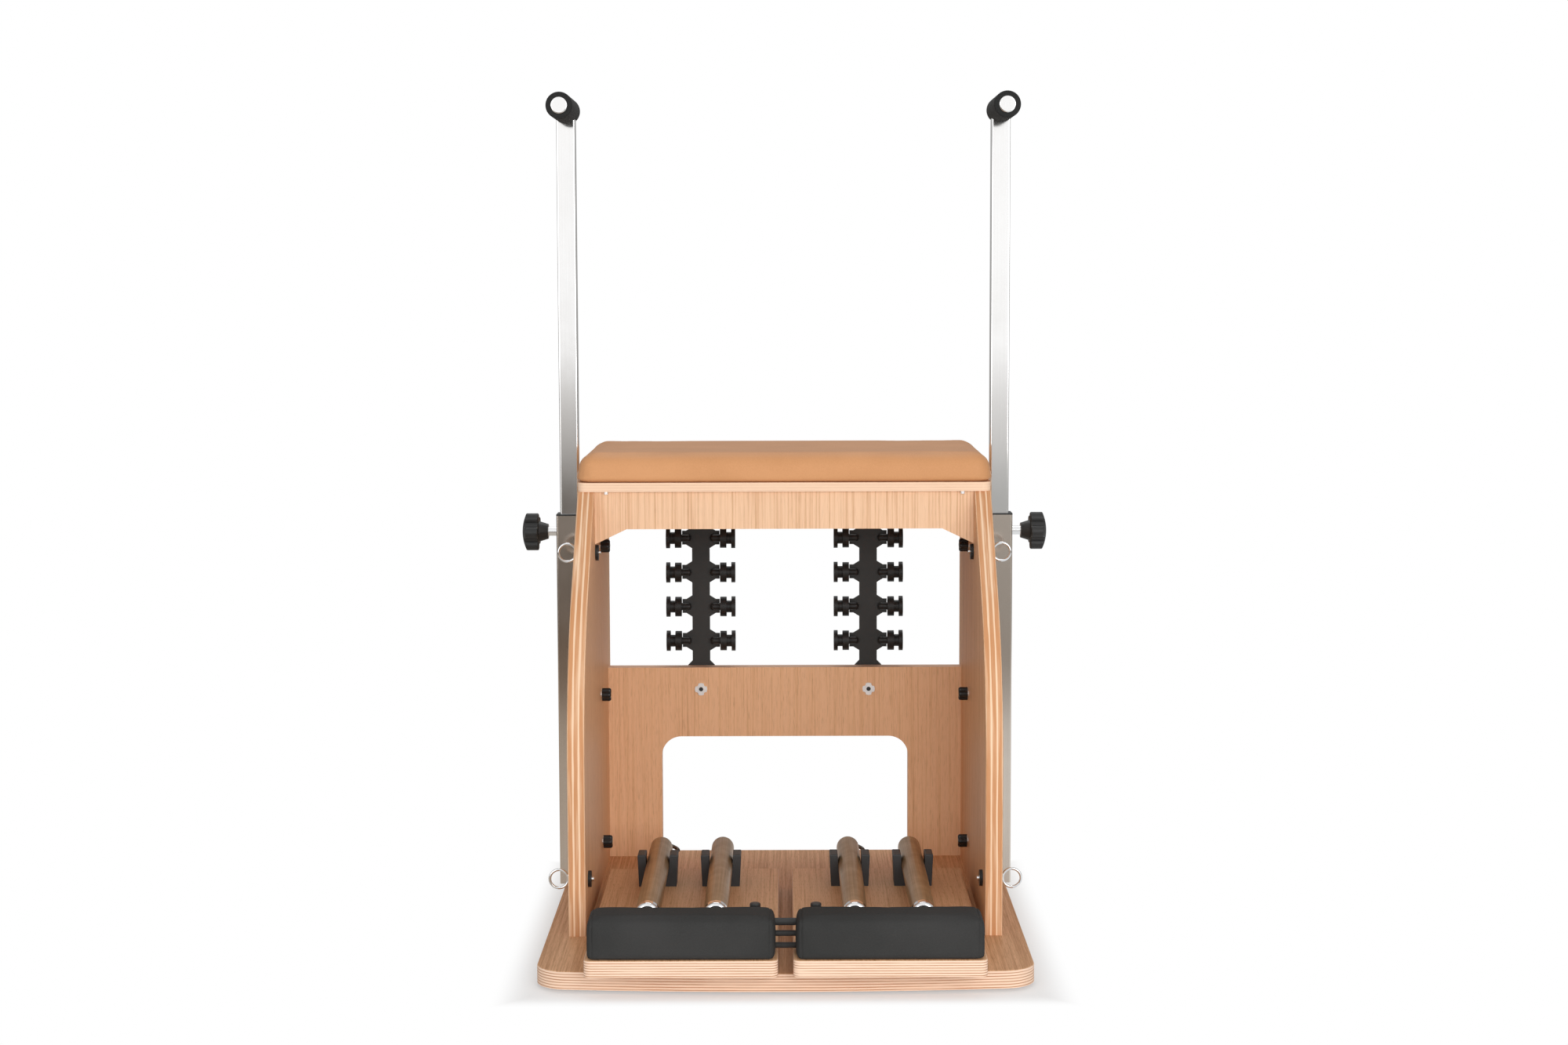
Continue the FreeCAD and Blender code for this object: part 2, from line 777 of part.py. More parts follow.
def pedal_board():
    near = pedal_gap / 2.0
    board = block(near, near + pedal_width, pedal_front, pedal_rear, pedal_bottom, pedal_top)
    board = rounded_edges(board, pedal_corner_radius,
                          lambda edge: runs_along(edge, z_axis) and lies_at(edge, y_axis, pedal_front))
    return rounded_edges(board, board_edge_round, lambda edge: lies_at(edge, z_axis, pedal_top))


def pedal_bumpers():
    bumpers = []
    near = pedal_gap / 2.0
    for side in (-1, 1):
        for x in (near + bumper_edge, near + pedal_width - bumper_edge):
            start = point(side * x, pedal_front + bumper_inset + pedal_overhang, base_top)
            bumpers.append(rod(bumper_diameter, start, z_axis, pedal_lift))
    return group(bumpers)


def hinge_leaf(own_first, lower):
    # one leaf of a folded butt hinge, with every second knuckle
    outer = pedal_lift - 2.0 * hinge_gap
    length = hinge_width / hinge_knuckles
    left = pedal_mid - hinge_width / 2.0
    front = hinge_y - hinge_leaf_length
    root = hinge_y - outer / 2.0 - hinge_gap
    low = base_top if lower else pedal_bottom - hinge_leaf_thickness
    high = low + hinge_leaf_thickness
    leaf = block(left, left + hinge_width, front, root, low, high)
    for index in range(own_first, hinge_knuckles, 2):
        start = left + length * index + hinge_gap
        run = length - 2.0 * hinge_gap
        reach = block(start, start + run, root, hinge_y, low, high)
        leaf = leaf.fuse(reach).fuse(rod(outer, point(start, hinge_y, hinge_z), x_axis, run))
    bore = hinge_pin_diameter + 2.0 * hinge_pin_gap
    return leaf.cut(rod(bore, point(left, hinge_y, hinge_z), x_axis, hinge_width)).removeSplitter()


def hinge_pin():
    start = point(pedal_mid - hinge_width / 2.0, hinge_y, hinge_z)
    return rod(hinge_pin_diameter, start, x_axis, hinge_width)


def coupler_levels(side):
    # the left coupler is one thick bar, the right one two thin rods below it
    if side < 0:
        return [(pedal_top + coupler_bar_height, coupler_bar_diameter)]
    return [(pedal_top + height, coupler_rod_diameter) for height in coupler_rod_heights]


def coupler(side):
    levels = coupler_levels(side)
    length = coupler_tail + pad_inner + coupler_entry
    low = min(z for z, size in levels) - coupler_arm_thickness / 2.0
    high = max(z for z, size in levels) + coupler_arm_thickness / 2.0
    knob_y = pad_rear + coupler_knob_behind
    mid = side * coupler_knob_place
    half = coupler_arm_width / 2.0
    arm = block(mid - half, mid + half, coupler_y, knob_y, low, high)
    knob = rod(coupler_knob_diameter, point(mid, knob_y, low), z_axis, pedal_top + coupler_knob_rise - low)
    knob = rounded_edges(knob, coupler_knob_round,
                         lambda edge: lies_at(edge, z_axis, pedal_top + coupler_knob_rise))
    shape = arm.fuse(knob)
    for z, size in levels:
        tail = point(side * coupler_tail, coupler_y, z)
        shape = shape.fuse(rod(size, tail, x_axis * -side, length))
    return shape.removeSplitter()


def coupler_room(side):
    # what a coupler sweeps through its own pad as it draws back
    cuts = []
    tail = coupler_tail + coupler_travel + 2.0 * coupler_gap
    for z, size in coupler_levels(side):
        bore = size + 2.0 * coupler_gap
        cuts.append(rod(bore, point(side * tail, coupler_y, z), x_axis * -side, tail))
    levels = [z for z, size in coupler_levels(side)]
    low = min(levels) - coupler_arm_thickness / 2.0 - coupler_gap
    high = max(levels) + coupler_arm_thickness / 2.0 + coupler_gap
    half = coupler_arm_width / 2.0 + coupler_gap
    near = coupler_knob_place - half
    far = coupler_knob_place + half + coupler_travel
    x0 = min(side * near, side * far)
    x1 = max(side * near, side * far)
    cuts.append(block(x0, x1, coupler_y - coupler_gap, pad_rear + coupler_knob_behind, low, high))
    return cuts


def coupler_sockets(side):
    # bores in this pad for the ends of the other pad's coupler
    depth = pad_inner + coupler_entry + coupler_gap
    return [rod(size + 2.0 * coupler_gap, point(0, coupler_y, z), x_axis * side, depth)
            for z, size in coupler_levels(-side)]


def pedal_pad(side):
    width = pedal_width - 2.0 * pad_end_inset
    centre_y = pad_front + pad_depth / 2.0
    pad = cushion(width, pad_depth, pad_height, pad_corner_radius, pad_waist, pad_crown, pad_edge,
                  centre_y, pedal_top)
    pad.translate(point(side * pedal_mid, 0, 0))
    for cut in coupler_room(side) + coupler_sockets(side):
        pad = pad.cut(cut)
    return pad


def spring_clips():
    # U cradles, open upwards, round in the bottom and a little wider at the lips
    clips = []
    half = clip_width / 2.0
    root = half - clip_flare
    inner = cover_diameter / 2.0 + clip_gap
    rear = pedal_rear - clip_from_rear + clip_depth / 2.0
    front = rear - clip_depth
    lip = pedal_top + clip_height
    for x in spring_places:
        outline = [point(x - root, front, pedal_top), point(x + root, front, pedal_top),
                   point(x + half, front, lip), point(x - half, front, lip)]
        clip = prism(outline, y_axis * clip_depth)
        clip = clip.cut(rod(2.0 * inner, point(x, front, spring_z), y_axis, clip_depth))
        clip = clip.cut(block(x - inner, x + inner, front, rear, spring_z, lip))
        clips.append(rounded_edges(clip, clip_round, lambda edge: lies_at(edge, z_axis, lip)))
    return group(clips)


def spring_lugs():
    # twin ears on a foot plate, joined by the pin that the spring's tongue turns on
    lugs = []
    inner = tongue_thickness / 2.0 + lug_side_gap
    outer = inner + lug_thickness
    low = pedal_top
    plate_top = low + lug_base_thickness
    for x in spring_places:
        lug = block(x - outer, x + outer, spring_pin_y - lug_base_length / 2.0,
                    spring_pin_y + lug_base_length / 2.0, low, plate_top)
        for start in (x - outer, x + inner):
            ear = block(start, start + lug_thickness, spring_pin_y - tongue_radius,
                        spring_pin_y + tongue_radius, plate_top, spring_z)
            crest = point(start, spring_pin_y, spring_z)
            round_top = rod(2.0 * tongue_radius, crest, x_axis, lug_thickness)
            lug = lug.fuse(ear).fuse(round_top)
        lug = lug.fuse(rod(lug_pin_diameter, point(x - outer, spring_pin_y, spring_z), x_axis, 2.0 * outer))
        lugs.append(lug.removeSplitter())
    return group(lugs)


def spring_cap(x):
    # turned front end: flat tongue with an eye, then a plug that closes the cover
    half = tongue_thickness / 2.0
    tongue = rod(2.0 * tongue_radius, point(x - half, spring_pin_y, spring_z), x_axis, tongue_thickness)
    tongue = tongue.fuse(block(x - half, x + half, spring_pin_y, cap_front, spring_z - tongue_radius,
                               spring_z + tongue_radius))
    bore = lug_pin_diameter + 2.0 * lug_pin_gap
    tongue = tongue.cut(rod(bore, point(x - half, spring_pin_y, spring_z), x_axis, tongue_thickness))
    cap = rod(cover_diameter, point(x, cap_front, spring_z), y_axis, cap_length)
    cap = rounded_edges(cap, cap_round, lambda edge: lies_at(edge, y_axis, cap_front))
    return tongue.fuse(cap)


def spring_cover(x):
    # closed tube with a domed rear end that the hook's shank leaves through
    start = point(x, cover_front, spring_z)
    cover = rod(cover_diameter, start, y_axis, cover_length)
    dome = min(cover_dome, fillet_share * cover_diameter / 2.0)
    cover = rounded_edges(cover, dome, lambda edge: lies_at(edge, y_axis, cover_rear))
    room = cover_length - cover_dome
    cover = cover.cut(rod(cover_diameter - 2.0 * cover_wall, start, y_axis, room))
    return cover.cut(rod(hook_wire + 2.0 * thread_gap, start, y_axis, cover_length))


def spring_coil(x, roll):
    # wound length as a plain core, then the wire's own shank and open hook
    core_length = cover_length - cover_dome - 2.0 * coil_clearance
    core = rod(coil_diameter, point(x, cover_front + coil_clearance, spring_z), y_axis, core_length)
    core_end = cover_front + coil_clearance + core_length
    bend_y = cover_rear + hook_shank
    shank = rod(hook_wire, point(x, core_end, spring_z), y_axis, bend_y - core_end)
    hook = Part.makeTorus(hook_radius, hook_wire / 2.0, point(x + hook_radius, bend_y, spring_z), z_axis)
    half = block(x - hook_wire, x + 2.0 * hook_radius + hook_wire, bend_y, bend_y + 2.0 * hook_radius,
                 spring_z - hook_wire, spring_z + hook_wire)
    shape = core.fuse(shank).fuse(hook.common(half))
    shape.rotate(point(x, cover_rear, spring_z), y_axis, roll)
    return shape


os.makedirs("parts", exist_ok=True)

export(base_plate(), "base_plate")
export(base_feet(), "base_feet")
both_sides(side_panel(), "side_panel")
export(front_rail(), "front_rail")
export(rear_rail(), "rear_rail")
export(rear_panel(), "rear_panel")
export(seat_board(), "seat_board")
export(seat_cushion(), "seat_cushion")
export(seat_screws(), "seat_screws")

both_sides(sleeve(), "sleeve")
both_sides(sleeve_bush(), "sleeve_bush")
right_nuts = sleeve_hand_nuts()
export(group(right_nuts + [mirrored(nut) for nut in right_nuts]), "sleeve_hand_nuts")
both_sides(post(), "post")
both_sides(grip(), "grip")
both_sides(post_glide(), "post_glide")
both_sides(clamp_knob(), "clamp_knob")

both_sides(group([eye_bolt(y, z) for y, z in eye_places()]), "eye_bolts")
right_eye_nuts = [eye_nut(y, z) for y, z in eye_places()]
export(group(right_eye_nuts + [mirrored(nut) for nut in right_eye_nuts]), "eye_bolt_nuts")

both_sides(spring_tree(), "spring_tree")
export(tree_pegs(), "tree_pegs")
export(peg_flanges(), "peg_flanges")
export(tree_bolts(), "tree_bolts")
export(tree_t_nuts(), "tree_t_nuts")

both_sides(pedal_board(), "pedal_board")
export(pedal_pad(1), "right_pedal_pad")
export(pedal_pad(-1), "left_pedal_pad")
export(pedal_bumpers(), "pedal_bumpers")
both_sides(hinge_leaf(0, True), "hinge_base_leaf")
both_sides(hinge_leaf(1, False), "hinge_pedal_leaf")
export(group([hinge_pin(), mirrored(hinge_pin())]), "hinge_pins")
both_sides(spring_clips(), "spring_clips")
both_sides(spring_lugs(), "spring_lugs")

spring_names = ("left_outer", "left_inner", "right_inner", "right_outer")
spring_x = (-spring_places[1], -spring_places[0], spring_places[0], spring_places[1])
for name, x, roll in zip(spring_names, spring_x, hook_rolls):
    export(spring_cap(x), name + "_spring_cap")
    export(spring_cover(x), name + "_spring_cover")
    export(spring_coil(x, roll), name + "_spring_coil")

export(coupler(-1), "left_coupler")
export(coupler(1), "right_coupler")
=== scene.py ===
import math
import bpy
import bmesh
from mathutils import Matrix, Vector


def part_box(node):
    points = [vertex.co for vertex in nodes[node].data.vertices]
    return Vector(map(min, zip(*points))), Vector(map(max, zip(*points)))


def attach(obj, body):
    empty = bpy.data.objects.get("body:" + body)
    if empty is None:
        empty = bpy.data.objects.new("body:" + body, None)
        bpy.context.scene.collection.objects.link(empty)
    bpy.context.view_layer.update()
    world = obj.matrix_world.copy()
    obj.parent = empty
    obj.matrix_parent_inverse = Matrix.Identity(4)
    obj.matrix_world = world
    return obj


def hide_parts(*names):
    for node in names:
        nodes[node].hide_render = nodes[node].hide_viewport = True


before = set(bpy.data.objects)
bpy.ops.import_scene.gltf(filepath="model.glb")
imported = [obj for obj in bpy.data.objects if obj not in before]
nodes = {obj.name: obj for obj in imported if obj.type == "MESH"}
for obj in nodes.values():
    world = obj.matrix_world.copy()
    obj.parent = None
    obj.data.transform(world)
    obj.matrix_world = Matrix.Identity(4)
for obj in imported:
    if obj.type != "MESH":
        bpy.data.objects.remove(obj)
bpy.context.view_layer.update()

scene = bpy.context.scene
mm = 0.001


def report(stage):
    print("chair:", stage)


class Flow:
    # an output socket that takes part in sums, each sum adding its own Math node
    def __init__(self, finish, socket):
        self.finish = finish
        self.socket = socket

    def calc(self, operation, *terms):
        return self.finish.node("ShaderNodeMath", {"operation": operation}, dict(enumerate(terms)))

    def __add__(self, other):
        return self.calc("ADD", self, other)

    def __radd__(self, other):
        return self.calc("ADD", other, self)

    def __sub__(self, other):
        return self.calc("SUBTRACT", self, other)

    def __rsub__(self, other):
        return self.calc("SUBTRACT", other, self)

    def __mul__(self, other):
        return self.calc("MULTIPLY", self, other)

    def __rmul__(self, other):
        return self.calc("MULTIPLY", other, self)

    def __truediv__(self, other):
        return self.calc("DIVIDE", self, other)

    def __rtruediv__(self, other):
        return self.calc("DIVIDE", other, self)

    def size(self):
        return self.calc("ABSOLUTE", self)

    def wave(self):
        return self.calc("SINE", self)

    def top(self, other):
        return self.calc("MAXIMUM", self, other)

    def stray(self, amount):
        return (self - 0.5) * amount  # a noise lies about 0.5

    def step(self, low, high):
        values = {"Value": self, "From Min": low, "From Max": high}
        return self.finish.node("ShaderNodeMapRange", {"interpolation_type": "SMOOTHSTEP"}, values)


class Finish:
    # one node tree: a material's, or the world's
    def __init__(self, name, owner=None):
        self.owner = owner or bpy.data.materials.new(name)
        self.owner.use_nodes = True
        self.tree = self.owner.node_tree
        self.tree.nodes.clear()

    def node(self, kind, settings=None, values=None, out=0):
        made = self.tree.nodes.new(kind)
        for key, value in (settings or {}).items():
            setattr(made, key, value)
        for key, value in (values or {}).items():
            if isinstance(value, Flow):
                self.tree.links.new(value.socket, made.inputs[key])
            else:
                made.inputs[key].default_value = value
        return Flow(self, made.outputs[out]) if made.outputs else None

    def coordinate(self, kind):
        return self.node("ShaderNodeTexCoord", None, None, kind)

    def split(self, vector):
        flow = self.node("ShaderNodeSeparateXYZ", None, {0: vector})
        return dict(zip("xyz", (Flow(self, socket) for socket in flow.socket.node.outputs)))

    def vector(self, x, y, z):
        return self.node("ShaderNodeCombineXYZ", None, {0: x, 1: y, 2: z})

    def noise(self, vector, scale=1.0, detail=3.0, rough=0.5):
        values = {"Vector": vector, "Scale": scale, "Detail": detail, "Roughness": rough}
        return self.node("ShaderNodeTexNoise", None, values, "Fac")

    def cells(self, vector, scale):
        values = {"Vector": vector, "Scale": scale}
        return self.node("ShaderNodeTexVoronoi", {"feature": "SMOOTH_F1"}, values, "Distance")

    def mix(self, share, first, second):
        return self.node("ShaderNodeMix", {"data_type": "RGBA"}, {0: share, 6: first, 7: second}, 2)

    def bump(self, height, strength, distance):
        values = {"Height": height, "Strength": strength, "Distance": distance}
        return self.node("ShaderNodeBump", None, values)

    def surface(self, values):
        shader = self.node("ShaderNodeBsdfPrincipled", None, values)
        self.node("ShaderNodeOutputMaterial", None, {"Surface": shader})
        return self.owner


def rgb(red, green, blue):
    return (red, green, blue, 1.0)


def dress(material, *names):
    for name in names:
        nodes[name].data.materials.clear()
        nodes[name].data.materials.append(material)


# how the brown layers show along a board's edges: which part of each layer is brown, and how brown
thinLines = {"band": (0.2, 0.9), "brown": 1.0,
             "pale": rgb(0.89, 0.65, 0.49), "deep": rgb(0.50, 0.25, 0.135)}
wideBands = {"band": (-0.85, -0.35), "brown": 0.9,
             "pale": rgb(0.88, 0.62, 0.42), "deep": rgb(0.60, 0.28, 0.125)}
faintLines = {"band": (0.5, 1.1), "brown": 0.45,
              "pale": rgb(0.88, 0.62, 0.44), "deep": rgb(0.53, 0.255, 0.13)}

# plywood boards: the way the veneer runs, the way through the plies, how many plies,
# and painted light set per board to match how brightly each board is lit: painted shade that deepens the
# veneer's tone (below nought it turns paler), and how much pale light is painted on it
lying = {"grain": "y", "through": "z", "plies": 13, "edge": thinLines}
standing = {"grain": "z", "through": "y", "plies": 13, "edge": thinLines}
sidePanel = {"grain": "z", "through": "x", "plies": 6, "edge": wideBands}
boards = {
    "base_plate": {**lying, "paintedShade": 0.0, "paintedLight": 0.0},
    "left_side_panel": {**sidePanel, "paintedShade": -0.11, "paintedLight": 0.0},
    "right_side_panel": {**sidePanel, "paintedShade": -0.03, "paintedLight": 0.0},
    "front_rail": {**standing, "paintedShade": -0.06, "paintedLight": 0.6},
    "rear_rail": {**standing, "paintedShade": 0.0, "paintedLight": 0.0},
    "rear_panel": {**standing, "paintedShade": -0.12, "paintedLight": 0.2},
    "seat_board": {**lying, "plies": 7, "edge": faintLines, "paintedShade": -0.1, "paintedLight": 0.3},
    "left_pedal_board": {**lying, "paintedShade": -0.07, "paintedLight": 0.0},
    "right_pedal_board": {**lying, "paintedShade": -0.07, "paintedLight": 0.0},
}
boardOffset = 3.7  # metres across the grain between one board's veneer and the next

# each pattern's stretch across the grain, along it and through the board, then its detail and roughness
oakPatterns = {
    "bands": ((30.0, 1.3, 3.0), 3.0, 0.5),
    "streaks": ((420.0, 4.0, 20.0), 3.0, 0.6),
    "fibres": ((1250.0, 22.0, 60.0), 2.0, 0.5),
    "pores": ((2100.0, 60.0, 90.0), 1.0, 0.5),
    "wobble": ((14.0, 14.0, 500.0), 2.0, 0.5),
    "fade": ((9.0, 9.0, 160.0), 2.0, 0.5),
    "edgeLines": ((40.0, 40.0, 1900.0), 2.0, 0.5),
}
# the oak's own colours, and the pale colour that is painted on boards as light
oak = {"pale": rgb(0.76, 0.44, 0.24), "deep": rgb(0.51, 0.255, 0.118), "pore": rgb(0.35, 0.165, 0.072),
       "paintedLight": rgb(0.92, 0.65, 0.45), "bands": 0.16, "streaks": 0.56, "fibres": 0.28, "tone": (0.36, 0.64),
       "pit": (0.58, 0.70), "pitShare": 0.5, "paintedLightStreak": (0.42, 0.66), "paintedLightHeld": 0.55,
       "flat": (0.55, 0.8), "rough": 0.48, "streakRough": 0.12, "pitRough": 0.12, "edgeRough": 0.1,
       "fibreRise": 0.4, "pitSink": 0.6, "stripeRise": 0.4, "relief": 0.25, "depth": 0.25 * mm,
       "specular": 0.2, "coat": 0.03, "coatRough": 0.35}
plyEdge = {"wobble": 1.6, "fadeGain": 1.5, "fadeLift": 0.05, "fade": (0.1, 0.95), "lines": 0.5}


def veneer(finish, board, noise, pits):
    tone = noise["bands"] * oak["bands"] + noise["streaks"] * oak["streaks"]
    # painted shade: each board's own shift moves its tone lighter or darker, to match how brightly that
    # board is lit
    tone = tone + noise["fibres"] * oak["fibres"] + board["paintedShade"]
    face = finish.mix(tone.step(*oak["tone"]), oak["pale"], oak["deep"])
    face = finish.mix(pits * oak["pitShare"], face, oak["pore"])
    # painted light: each board is mixed towards a pale colour by its own share, to match how brightly it is
    # lit, while the streaks keep part of their tone
    paintedLightShare = 1.0 - noise["streaks"].step(*oak["paintedLightStreak"]) * oak["paintedLightHeld"]
    return finish.mix(paintedLightShare * board["paintedLight"], face, oak["paintedLight"])


def plyStripe(board, noise, depth):
    turns = depth * (math.pi * board["plies"]) + noise["wobble"].stray(plyEdge["wobble"])
    layer = (turns - math.pi / 2.0).wave()
    fade = (noise["fade"] * plyEdge["fadeGain"] + plyEdge["fadeLift"]).step(*plyEdge["fade"])
    return layer.step(*board["edge"]["band"]) * fade


def oakBoard(name, board, seed):
    low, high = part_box(name)
    finish = Finish(name + "Oak")
    place = finish.split(finish.coordinate("Object"))
    side = next(axis for axis in "xyz" if axis not in (board["grain"], board["through"]))
    through = place[board["through"]]
    ways = (place[side] + seed, place[board["grain"]], through)
    noise = {}
    for key, (stretch, detail, grit) in oakPatterns.items():
        vector = finish.vector(*(way * scale for way, scale in zip(ways, stretch)))
        noise[key] = finish.noise(vector, 1.0, detail, grit)
    pits = noise["pores"].step(*oak["pit"])
    face = veneer(finish, board, noise, pits)
    axis = "xyz".index(board["through"])
    stripe = plyStripe(board, noise, (through - low[axis]) / (high[axis] - low[axis]))
    brown = (stripe * board["edge"]["brown"] + noise["edgeLines"].stray(plyEdge["lines"])).step(0.0, 1.0)
    edge = finish.mix(brown, board["edge"]["pale"], board["edge"]["deep"])
    facing = finish.split(finish.coordinate("Normal"))
    flat = facing[board["through"]].size().step(*oak["flat"])
    colour = finish.mix(flat, edge, face)
    rough = oak["rough"] + noise["streaks"].stray(oak["streakRough"]) + pits * oak["pitRough"]
    rough = rough + (1.0 - flat) * oak["edgeRough"]
    relief = noise["fibres"] * oak["fibreRise"] - pits * flat * oak["pitSink"]
    relief = relief + stripe * (1.0 - flat) * oak["stripeRise"]
    normal = finish.bump(relief, oak["relief"], oak["depth"])
    return finish.surface({"Base Color": colour, "Roughness": rough, "Normal": normal,
                           "Specular IOR Level": oak["specular"], "Coat Weight": oak["coat"],
                           "Coat Roughness": oak["coatRough"]})


report("plywood")
for index, (name, board) in enumerate(boards.items()):
    dress(oakBoard(name, board, boardOffset * index), name)


# bare and plated metal
stainless = {"pale": rgb(0.98, 0.975, 0.97), "deep": rgb(0.91, 0.90, 0.89), "rough": 0.085}
dullSteel = {"pale": rgb(0.72, 0.64, 0.56), "deep": rgb(0.64, 0.56, 0.49), "rough": 0.14}
chrome = {"pale": rgb(0.86, 0.86, 0.86), "deep": rgb(0.78, 0.78, 0.79), "rough": 0.08, "metallic": 1.0}
zinc = {"pale": rgb(0.90, 0.90, 0.89), "deep": rgb(0.80, 0.80, 0.80), "rough": 0.36, "metallic": 0.45}
wire = {"pale": rgb(0.24, 0.235, 0.225), "deep": rgb(0.14, 0.135, 0.13), "rough": 0.34, "metallic": 1.0}
brush = {"across": 1400.0, "along": 6.0, "cloud": 16.0, "share": 0.5, "tone": (0.25, 0.75),
         "lineRough": 0.05, "cloudRough": 0.08, "relief": 0.06, "depth": 0.04 * mm}
polish = {"smear": 130.0, "tone": (0.3, 0.7), "smearRough": 0.08}


def brushedSteel(name, steel):
    finish = Finish(name)
    spot = finish.coordinate("Object")
    place = finish.split(spot)
    stretched = finish.vector(place["x"] * brush["across"], place["y"] * brush["across"],
                              place["z"] * brush["along"])
    lines = finish.noise(stretched, rough=0.6)
    cloud = finish.noise(spot, brush["cloud"], detail=4.0, rough=0.6)
    tone = (lines * brush["share"] + cloud * (1.0 - brush["share"])).step(*brush["tone"])
    colour = finish.mix(tone, steel["pale"], steel["deep"])
    rough = steel["rough"] + lines.stray(brush["lineRough"]) + cloud.stray(brush["cloudRough"])
    normal = finish.bump(lines, brush["relief"], brush["depth"])
    return finish.surface({"Base Color": colour, "Metallic": 1.0, "Roughness": rough, "Normal": normal})


def polishedMetal(name, metal):
    finish = Finish(name)
    smear = finish.noise(finish.coordinate("Object"), polish["smear"], rough=0.6)
    colour = finish.mix(smear.step(*polish["tone"]), metal["pale"], metal["deep"])
    rough = metal["rough"] + smear.stray(polish["smearRough"])
    return finish.surface({"Base Color": colour, "Metallic": metal["metallic"], "Roughness": rough})


report("metals")
springs = ("left_outer", "left_inner", "right_inner", "right_outer")
dress(brushedSteel("brushedPosts", stainless), "left_post", "right_post")
dress(brushedSteel("brushedSleeves", dullSteel), "left_sleeve", "right_sleeve")
dress(polishedMetal("brightPlating", chrome), "left_eye_bolts", "right_eye_bolts", "hinge_pins",
      *(spring + "_spring_cap" for spring in springs))
dress(polishedMetal("zincPlating", zinc), "tree_t_nuts", "seat_screws")
dress(polishedMetal("oiledWire", wire), *(spring + "_spring_coil" for spring in springs))


# black parts: coated steel, moulded plastic, rubber and foam
blackSkins = {
    "coatedSteel": {"deep": rgb(0.022, 0.022, 0.021), "pale": rgb(0.033, 0.032, 0.031), "rough": 0.46,
                    "grain": 1500.0, "relief": 0.25, "pit": 0.2 * mm},
    "mouldedPlastic": {"deep": rgb(0.012, 0.012, 0.012), "pale": rgb(0.021, 0.021, 0.021), "rough": 0.42,
                       "grain": 1100.0, "relief": 0.18, "pit": 0.2 * mm},
    "glossPlastic": {"deep": rgb(0.010, 0.010, 0.010), "pale": rgb(0.017, 0.017, 0.017), "rough": 0.2,
                     "grain": 900.0, "relief": 0.08, "pit": 0.2 * mm},
    "clipPlastic": {"deep": rgb(0.026, 0.027, 0.028), "pale": rgb(0.040, 0.042, 0.044), "rough": 0.5,
                    "grain": 1100.0, "relief": 0.18, "pit": 0.2 * mm},
    "softRubber": {"deep": rgb(0.016, 0.016, 0.016), "pale": rgb(0.026, 0.026, 0.025), "rough": 0.72,
                   "grain": 900.0, "relief": 0.3, "pit": 0.3 * mm},
    "gripFoam": {"deep": rgb(0.010, 0.010, 0.010), "pale": rgb(0.022, 0.022, 0.021), "rough": 0.86,
                 "grain": 1300.0, "relief": 0.7, "pit": 0.6 * mm},
}
blackNodes = {
    "coatedSteel": ["left_spring_tree", "right_spring_tree", "tree_bolts", "left_hinge_base_leaf",
                    "right_hinge_base_leaf", "left_hinge_pedal_leaf", "right_hinge_pedal_leaf",
                    "left_spring_lugs", "right_spring_lugs", "left_coupler", "right_coupler"],
    "mouldedPlastic": ["eye_bolt_nuts", "tree_pegs", "peg_flanges", "left_sleeve_bush", "right_sleeve_bush",
                       "left_post_glide", "right_post_glide"],
    "clipPlastic": ["left_spring_clips", "right_spring_clips"],
    "softRubber": ["base_feet", "pedal_bumpers"],
    "gripFoam": ["left_grip", "right_grip"],
}
blackGrain = {"cloud": 22.0, "share": 0.5, "tone": (0.3, 0.7), "cloudRough": 0.12, "grainRough": 0.1,
              "platedRough": 0.14, "specular": 0.42}
clampStud = (319.6 * mm, 319.4 * mm)  # distances from the chair's middle, bright on the nearer side
nutCollar = (248.9 * mm, 249.1 * mm)  # bright on the farther side


def blackSkin(name, skin, plated=None):
    # plated gives the two distances between which the same piece turns from black to bright metal
    finish = Finish(name)
    spot = finish.coordinate("Object")
    grain = finish.noise(spot, skin["grain"], rough=0.6)
    cloud = finish.noise(spot, blackGrain["cloud"])
    tone = (cloud * blackGrain["share"] + grain * (1.0 - blackGrain["share"])).step(*blackGrain["tone"])
    colour = finish.mix(tone, skin["deep"], skin["pale"])
    rough = skin["rough"] + cloud.stray(blackGrain["cloudRough"]) + grain.stray(blackGrain["grainRough"])
    relief = grain
    metallic = 0.0
    if plated:
        metallic = finish.split(spot)["x"].size().step(*plated)
        colour = finish.mix(metallic, colour, chrome["pale"])
        rough = rough * (1.0 - metallic) + metallic * blackGrain["platedRough"]
        relief = grain * (1.0 - metallic)
    normal = finish.bump(relief, skin["relief"], skin["pit"])
    return finish.surface({"Base Color": colour, "Roughness": rough, "Normal": normal, "Metallic": metallic,
                           "Specular IOR Level": blackGrain["specular"]})


report("black parts")
for skin, names in blackNodes.items():
    dress(blackSkin(skin, blackSkins[skin]), *names)
dress(blackSkin("clampKnob", blackSkins["mouldedPlastic"], clampStud),
      "left_clamp_knob", "right_clamp_knob")
dress(blackSkin("handNut", blackSkins["glossPlastic"], nutCollar), "sleeve_hand_nuts")


# bronze-brown tubes over the springs
sheath = {"pale": rgb(0.44, 0.285, 0.145), "deep": rgb(0.31, 0.195, 0.095), "rough": 0.36, "metallic": 0.55,
          "around": 520.0, "along": 5.0, "cloud": 40.0, "lineShare": 0.65, "cloudShare": 0.35,
          "tone": (0.32, 0.68), "cloudRough": 0.16, "lineRough": 0.1, "relief": 0.12, "depth": 0.1 * mm}


